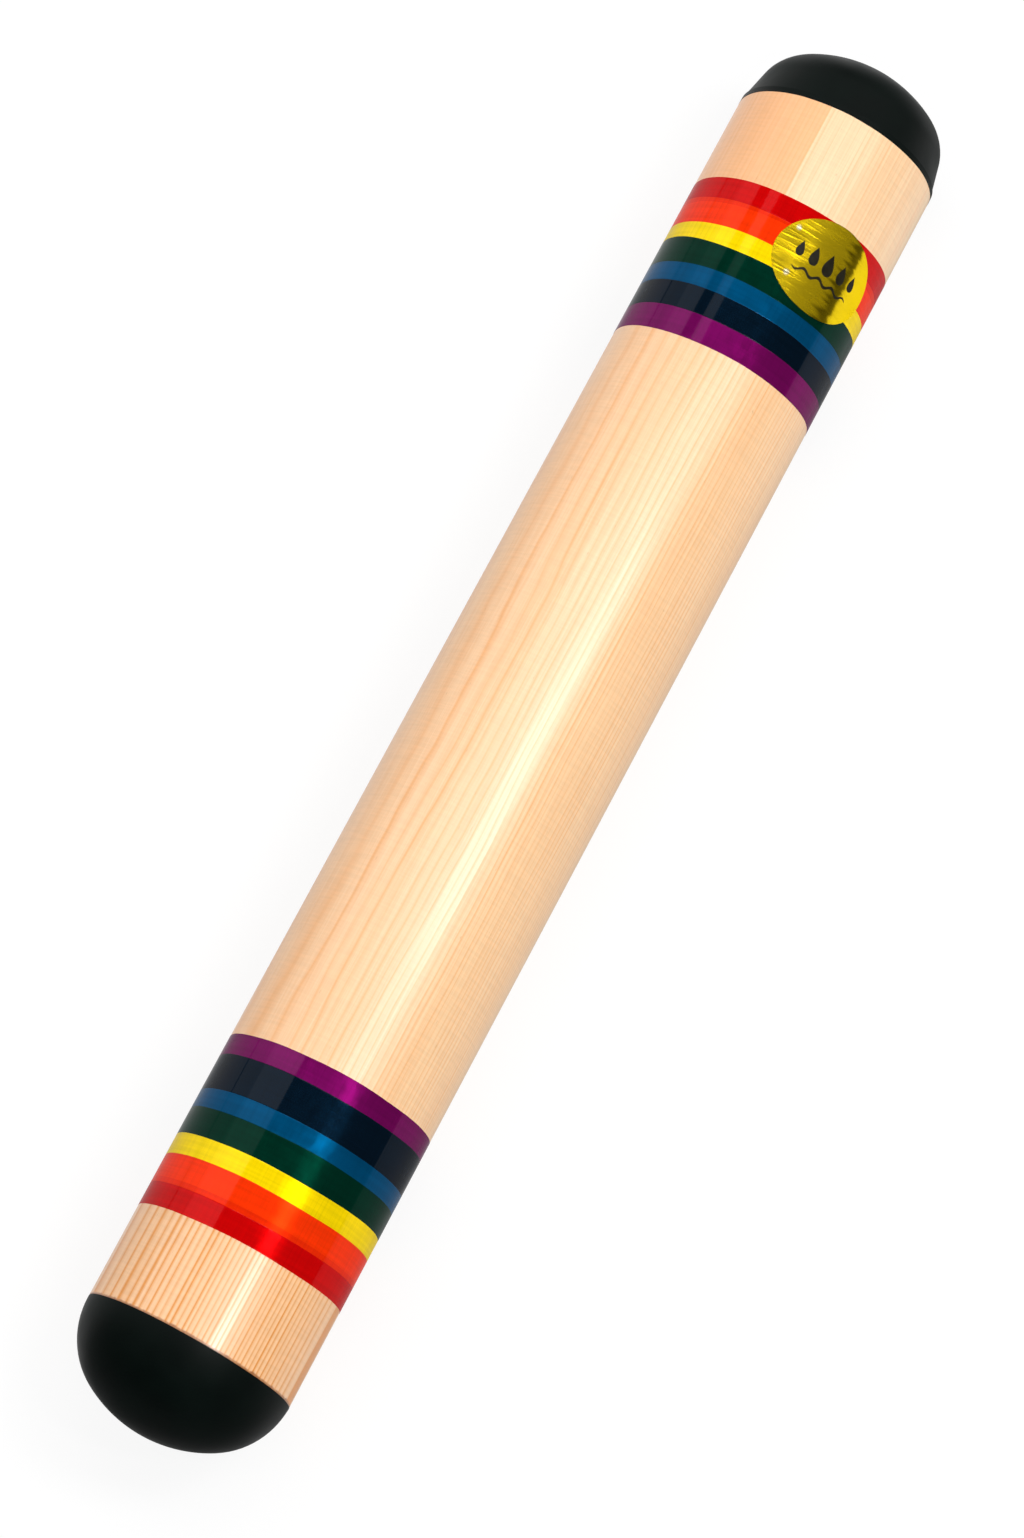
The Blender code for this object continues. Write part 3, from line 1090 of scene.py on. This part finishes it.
class RAINSTICK_OT_dip_coats(bpy.types.Operator):
    """Dips both domes in black"""

    bl_idname = "rainstick.dip_coats"
    bl_label = "Dip coats"

    def execute(self, context):
        material = dip_material()
        for end in ENDS:
            coat = turned_piece("black_dip_" + end, partial(dip_outline, end), WOOD_SIDES, material)
            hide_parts("dome_coat_" + end)
        return {"FINISHED"}


# Foil label

# Underside and top of the ink, counted from the top of the foil
INK_LEVELS = (-0.01 * MM, 0.025 * MM)
# The row of raindrops: its place along the label, and each drop's place round it and its size
DROPS_ALONG = 1.6 * MM
DROPS = ((-9.0, 4.4), (-4.7, 5.4), (0.0, 6.4), (4.7, 5.4), (9.0, 4.4))
# The wavy line: its place along the label, how far it reaches round it, its half width and its waves
LINE_ALONG = -3.6 * MM
LINE_REACH = 9.5 * MM
LINE_HALF_WIDTH = 0.42 * MM
LINE_WAVE = 0.6 * MM


def crease_height(along, around):
    """Height of the foil's wrinkles, from 0 to 1, at a place on the flat label in metres."""
    wrinkle = noise.noise(Vector((along * 520, around * 24, 3.1)))
    ridge = max(0.0, 1 - abs(wrinkle) * 5.5)
    wave = 0.5 + 0.5 * noise.noise(Vector((along * 210, around * 35, 8.4)))
    return 0.55 * ridge * ridge + 0.45 * wave


def on_label(along, around, lift):
    """A point on the label, given its place on the flat oval and its lift off the foil."""
    label = bpy.context.scene.rainstick_label
    tilted_along = along * math.cos(label.tilt) - around * math.sin(label.tilt)
    tilted_around = along * math.sin(label.tilt) + around * math.cos(label.tilt)
    rim = (along / label.foil_length * 2) ** 2 + (around / label.foil_width * 2) ** 2
    settled = min(1.0, max(0.0, (1 - rim) * 6))
    radius = RADIUS + 0.05 * MM + label.crease * crease_height(along, around) * settled + lift
    return on_stick(LABEL_STATION + tilted_along, radius, LABEL_TURN + tilted_around / RADIUS)


def oval_point(x, y):
    """A point of the square -1..1 moved into the label's oval."""
    label = bpy.context.scene.rainstick_label
    along = x * math.sqrt(1 - y * y / 2) * label.foil_length / 2
    around = y * math.sqrt(1 - x * x / 2) * label.foil_width / 2
    return along, around


def thickened(obj, thickness):
    """Gives a thin sheet a thickness outwards and keeps the finished mesh."""
    foil = obj.modifiers.new("thickness", "SOLIDIFY")
    foil.thickness = thickness
    foil.offset = 1.0
    graph = bpy.context.evaluated_depsgraph_get()
    mesh = bpy.data.meshes.new_from_object(obj.evaluated_get(graph))
    mesh.name = obj.name
    obj.modifiers.clear()
    obj.data = mesh
    return obj


def foil_sheet(material):
    label = bpy.context.scene.rainstick_label
    shape = bmesh.new()
    bmesh.ops.create_grid(shape, x_segments=150, y_segments=110, size=1.0)
    for vertex in shape.verts:
        vertex.co = on_label(*oval_point(vertex.co.x, vertex.co.y), 0.0)
    outwards = Vector(on_label(0, 0, 1.0)) - Vector(on_label(0, 0, 0.0))
    shape.normal_update()
    average = sum((face.normal for face in shape.faces), Vector())
    if average.dot(outwards) < 0:
        bmesh.ops.reverse_faces(shape, faces=shape.faces)
    foil = new_piece("label_foil", mesh_of("label_foil", shape), material)
    return finished(thickened(foil, label.thickness), "stick")


def inked_shape(outline, rings):
    """Points and faces of one inked shape: its outline filled from its middle, on the foil."""
    label = bpy.context.scene.rainstick_label
    sides = len(outline)
    middle = (sum(p[0] for p in outline) / sides, sum(p[1] for p in outline) / sides)
    points = []
    for lift in (label.thickness + level for level in INK_LEVELS):
        points.append(on_label(*middle, lift))
        for ring in range(1, rings + 1):
            for x, y in outline:
                way = ring / rings
                place = (middle[0] + (x - middle[0]) * way, middle[1] + (y - middle[1]) * way)
                points.append(on_label(*place, lift))
    faces = []
    layer = 1 + rings * sides
    for level in (0, layer):
        for i in range(sides):
            j = (i + 1) % sides
            faces.append((level, level + 1 + i, level + 1 + j))
            for ring in range(rings - 1):
                a = level + 1 + ring * sides
                faces.append((a + i, a + sides + i, a + sides + j, a + j))
    edge = 1 + (rings - 1) * sides
    for i in range(sides):
        j = (i + 1) % sides
        faces.append((edge + i, edge + j, layer + edge + j, layer + edge + i))
    return points, faces


def raindrop(along, around, size):
    """The outline of a drop, its point towards the dome."""
    outline = []
    for k in range(36):
        way = 2 * math.pi * k / 36
        width = 0.36 * size * math.sin(way) * math.sin(way / 2) ** 1.4
        outline.append((along + 0.5 * size * math.cos(way), around + width))
    return outline


def water_ribbon():
    """Points and faces of the wavy line, as a narrow ribbon with a thickness."""
    label = bpy.context.scene.rainstick_label
    steps = 120
    root, top = INK_LEVELS
    points = []
    for k in range(steps + 1):
        share = 2 * k / steps - 1
        wave = LINE_WAVE * math.sin(share * math.pi * 4)
        half_width = LINE_HALF_WIDTH * math.sqrt(max(0.02, 1 - share ** 4))
        for side, level in ((-1, root), (1, root), (1, top), (-1, top)):
            along = LINE_ALONG + wave + side * half_width
            points.append(on_label(along, LINE_REACH * share, label.thickness + level))
    faces = [(0, 1, 2, 3), tuple(4 * steps + i for i in (3, 2, 1, 0))]
    for k in range(steps):
        for i in range(4):
            j = (i + 1) % 4
            faces.append((4 * k + i, 4 * k + j, 4 * k + 4 + j, 4 * k + 4 + i))
    return points, faces


class RAINSTICK_OT_label(bpy.types.Operator):
    """Sticks the creased foil label over the bands, with raindrops printed on it"""

    bl_idname = "rainstick.label"
    bl_label = "Foil label"

    def execute(self, context):
        foil = foil_sheet(foil_material())
        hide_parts("foil_label")
        points, faces = [], []
        shapes = [inked_shape(raindrop(DROPS_ALONG, place * MM, size * MM), 5) for place, size in DROPS]
        for corners, sheets in shapes + [water_ribbon()]:
            start = len(points)
            points += corners
            faces += [tuple(start + i for i in face) for face in sheets]
        ink = piece_of("label_print", points, faces, ink_material())
        return {"FINISHED"}


# Inside the stick

class RAINSTICK_OT_core(bpy.types.Operator):
    """Finishes the birch rod and sets a round-tipped pin for each pin of the spiral"""

    bl_idname = "rainstick.core"
    bl_label = "Core rod and pins"

    def execute(self, context):
        fill = context.scene.rainstick_fill
        rod = frame["nodes"]["core_rod"]
        for slot in rod.material_slots:
            slot.material = birch_material()
        brass = metal_material("drawn_brass", tuple(fill.brass), (200.0, 2400.0), 0.22)
        for name in sorted(n for n in frame["nodes"] if n.startswith("pin_")):
            low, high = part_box(name)
            corners = corners_round_axis(name)
            corners -= corners.mean(0)
            across, up = corners[:, 1], corners[:, 2]
            turn = 0.5 * math.atan2(2 * (across * up).sum(), (across ** 2).sum() - (up ** 2).sum())
            reach = float(np.hypot(across, up).max())
            pin = round_tipped_pin("brass_" + name, (high.x - low.x) / 2, reach, brass)
            place = Matrix.Translation(((low.x + high.x) / 2, 0, AXIS_HEIGHT))
            pin.matrix_world = place @ Matrix.Rotation(turn - math.pi / 2, 4, "X")
            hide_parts(name)
        return {"FINISHED"}


def round_tipped_pin(name, radius, reach, material):
    """A drawn pin along Z with domed tips and a faint waist where the rod grips it."""
    dome = bpy.context.scene.rainstick_fill.pin_dome
    steps = 6
    tip = []
    for i in range(1, steps + 1):
        way = math.pi / 2 * i / steps
        tip.append((radius * math.sin(way), reach - dome * (1 - math.cos(way))))
    shaft = []
    for height in spaced(reach - 2 * dome, -reach + 2 * dome, 1.5 * MM):
        grip = 0.03 * math.exp(-((height / (4 * MM)) ** 2))
        shaft.append((radius * (1 - grip), height))
    rings = tip + shaft + [(r, -height) for r, height in reversed(tip)]
    sides = 20
    points = [(0, 0, reach), (0, 0, -reach)]
    for k in range(sides):
        turn = 2 * math.pi * k / sides
        points += [(r * math.cos(turn), r * math.sin(turn), z) for r, z in rings]
    faces = []
    for k in range(sides):
        here, there = 2 + k * len(rings), 2 + (k + 1) % sides * len(rings)
        faces.append((0, here, there))
        faces.append((1, there + len(rings) - 1, here + len(rings) - 1))
        for i in range(len(rings) - 1):
            faces.append((here + i, here + i + 1, there + i + 1, there + i))
    return piece_of(name, points, faces, material)


class RAINSTICK_OT_balls(bpy.types.Operator):
    """Drops a tumbled steel ball in the place of each ball of the three rows"""

    bl_idname = "rainstick.balls"
    bl_label = "Balls"

    def execute(self, context):
        fill = context.scene.rainstick_fill
        steel = metal_material("tumbled_steel", tuple(fill.steel), (1500.0, 1500.0), 0.12)
        for name in sorted(n for n in frame["nodes"] if n.startswith("ball_")):
            low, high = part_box(name)
            radius = (high.x - low.x) / 2
            middle = (low + high) / 2
            shape = bmesh.new()
            bmesh.ops.create_icosphere(shape, subdivisions=4, radius=radius)
            for vertex in shape.verts:
                dent = noise.noise(vertex.co * 900 + middle * 3000)
                vertex.co *= 1 - fill.dent / radius * max(0.0, dent)
                vertex.co += middle
            ball = new_piece("steel_" + name, mesh_of("steel_" + name, shape), steel)
            finished(ball, frame["nodes"][name]["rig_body"])
            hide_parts(name)
        return {"FINISHED"}


# Stage

# Softboxes that begin beyond this turn, in degrees, stand at the side and further off
SIDE_TURN = 20.0
KEY_DISTANCE = 1.0
SIDE_DISTANCE = 1.1


def softbox(name, radiance, turns, stations, light=True, gloss=True):
    """A rectangular light of an even radiance that spans turns, in degrees, and stations.

    The camera doesn't see it. light: it lights surfaces. gloss: it shows in reflections.
    """
    low_turn, high_turn = turns
    low_x, high_x = stations
    turn = math.radians((low_turn + high_turn) / 2)
    data = bpy.data.lights.new(name, "AREA")
    data.shape = "RECTANGLE"
    data.size = high_x - low_x
    distance = KEY_DISTANCE if low_turn < SIDE_TURN else SIDE_DISTANCE
    data.size_y = 2 * distance * math.tan(math.radians(high_turn - low_turn) / 2)
    data.energy = radiance * math.pi * data.size * data.size_y
    box = new_object(name, data)
    box.visible_camera = False
    box.visible_diffuse = light
    box.visible_glossy = gloss
    back = Vector((0, math.sin(turn), math.cos(turn)))
    turn_to(box, on_stick((low_x + high_x) / 2, distance, turn), Vector((1, 0, 0)), back)


def pale_floor(studio):
    """A wide plain floor, a little uneven in tone, that glows softly like lit acrylic."""
    shape = bmesh.new()
    bmesh.ops.create_grid(shape, x_segments=24, y_segments=24, size=6.0)
    material, tree, shader = new_material("pale_floor")
    ray = add("ShaderNodeLightPath", tree=tree).outputs
    axes = axes_of(own_place(tree))
    light = spread(axes["Y"], -30 * MM, 30 * MM, *studio.floor_light)
    gloss = spread(axes["Y"], -30 * MM, 30 * MM, *studio.floor_gloss)
    gloss = times(gloss, spread(axes["X"], -1.12 * TIP, -0.90 * TIP, 0.02, 1.0))
    beyond = spread(axes["Y"], -50 * MM, -38 * MM, 1.65, 0.85)
    beyond = plus(beyond, spread(axes["Y"], -30 * MM, 30 * MM, 0.0, 0.4))
    near_label = spread(axes["X"], 0.3 * TIP, 0.75 * TIP)
    gloss = times(gloss, mixed(near_label, 1.0, beyond))
    glow = mixed(ray["Is Glossy Ray"], light, gloss)
    glow = mixed(ray["Is Camera Ray"], glow, studio.floor_seen)
    finish(
        shader, Base_Color=with_alpha(studio.floor), Roughness=0.9, Specular_IOR_Level=0.0,
        Emission_Color=(1.0, 1.0, 1.0, 1.0), Emission_Strength=glow,
    )
    material.cycles.emission_sampling = "NONE"
    floor = new_piece("floor", mesh_of("floor", shape), material)
    floor.location.z = cad_box[0].z - 0.02 * MM


def dim_room(studio):
    """A dim room for the reflections, and a pale backdrop for what the camera sees directly."""
    world = bpy.data.worlds.new("studio")
    bpy.context.scene.world = world
    world.use_nodes = True
    tree = world.node_tree
    tree.nodes.clear()
    seen = add("ShaderNodeLightPath", tree=tree).outputs["Is Camera Ray"]
    room = (studio.dusk, studio.dusk, studio.dusk)
    shade = blend(seen, room, (0.86, 0.86, 0.86))
    background = add("ShaderNodeBackground", {"Color": shade, "Strength": 1.0})
    add("ShaderNodeOutputWorld", {"Surface": background.outputs[0]})


def studio_camera(studio):
    data = bpy.data.cameras.new("camera")
    data.lens = studio.lens
    data.sensor_width = 36.0
    data.sensor_fit = "AUTO"
    data.clip_start = 0.01
    data.clip_end = 100.0
    data.dof.use_dof = False
    camera = new_object("camera", data)
    flat = Vector((math.cos(studio.heading), math.sin(studio.heading), 0))
    forward = flat * math.cos(studio.elevation) - Vector((0, 0, math.sin(studio.elevation)))
    right = forward.cross(Vector((0, 0, 1))).normalized()
    aim = Vector((studio.aim_along, studio.aim_side, AXIS_HEIGHT))
    turn_to(camera, aim - forward * studio.distance, right, -forward)
    bpy.context.scene.camera = camera


class RAINSTICK_OT_stage(bpy.types.Operator):
    """Sets up the pale floor, the softboxes, the room and the camera"""

    bl_idname = "rainstick.stage"
    bl_label = "Studio"

    def execute(self, context):
        studio = context.scene.rainstick_studio
        pale_floor(studio)
        dim_room(studio)
        key, gloss = studio.key, studio.gloss
        softbox("key_softbox", key, (-34.0, -14.0), (0.125, 0.35))
        softbox("key_edge", studio.key_edge, (-14.0, 26.0), (0.11, 0.42))
        softbox("key_low_end", 1.3 * key, (-34.0, -21.0), (-0.10, -0.03), gloss=False)
        softbox("gloss_low_end", 3.1 * key, (-34.0, -21.0), (-0.12, -0.038), light=False)
        softbox("fill_low_end", studio.fill, (-60.0, 30.0), (-1.2, -0.3), gloss=False)
        softbox("fill_high_end", studio.fill, (-60.0, 30.0), (0.9, 1.8))
        softbox("side_softbox", studio.side, (30.0, 88.0), (-1.1, 1.6), gloss=False)
        softbox("gloss_plain", gloss, (30.0, 66.0), (-0.12, 0.30), light=False)
        softbox("gloss_label", gloss, (45.0, 66.0), (0.34, 1.6), light=False)
        softbox("gloss_low", 0.65 * gloss, (66.0, 88.0), (-0.12, 1.6), light=False)
        softbox("gloss_strip", gloss, (21.5, 33.0), (0.34, 1.6), light=False)
        studio_camera(studio)
        context.scene.view_settings.view_transform = "Standard"
        return {"FINISHED"}


OPERATORS = (
    RAINSTICK_OT_tube,
    RAINSTICK_OT_end_pieces,
    RAINSTICK_OT_bands,
    RAINSTICK_OT_dip_coats,
    RAINSTICK_OT_label,
    RAINSTICK_OT_core,
    RAINSTICK_OT_balls,
    RAINSTICK_OT_stage,
)


class RAINSTICK_PT_panel(bpy.types.Panel):
    """Lists the steps that build the rainstick"""

    bl_label = "Rainstick"
    bl_idname = "RAINSTICK_PT_panel"
    bl_space_type = "VIEW_3D"
    bl_region_type = "UI"
    bl_category = "Rainstick"

    def draw(self, context):
        for operator in OPERATORS:
            self.layout.operator(operator.bl_idname)


def register():
    for name, group in GROUPS.items():
        bpy.utils.register_class(group)
        setattr(bpy.types.Scene, name, bpy.props.PointerProperty(type=group))
    for operator in OPERATORS:
        bpy.utils.register_class(operator)
    bpy.utils.register_class(RAINSTICK_PT_panel)


def unregister():
    bpy.utils.unregister_class(RAINSTICK_PT_panel)
    for operator in reversed(OPERATORS):
        bpy.utils.unregister_class(operator)
    for name, group in reversed(GROUPS.items()):
        delattr(bpy.types.Scene, name)
        bpy.utils.unregister_class(group)


def main():
    register()
    bpy.ops.rainstick.tube()
    bpy.ops.rainstick.end_pieces()
    bpy.ops.rainstick.bands()
    bpy.ops.rainstick.dip_coats()
    bpy.ops.rainstick.label()
    bpy.ops.rainstick.core()
    bpy.ops.rainstick.balls()
    bpy.ops.rainstick.stage()


if __name__ == "__main__":
    main()
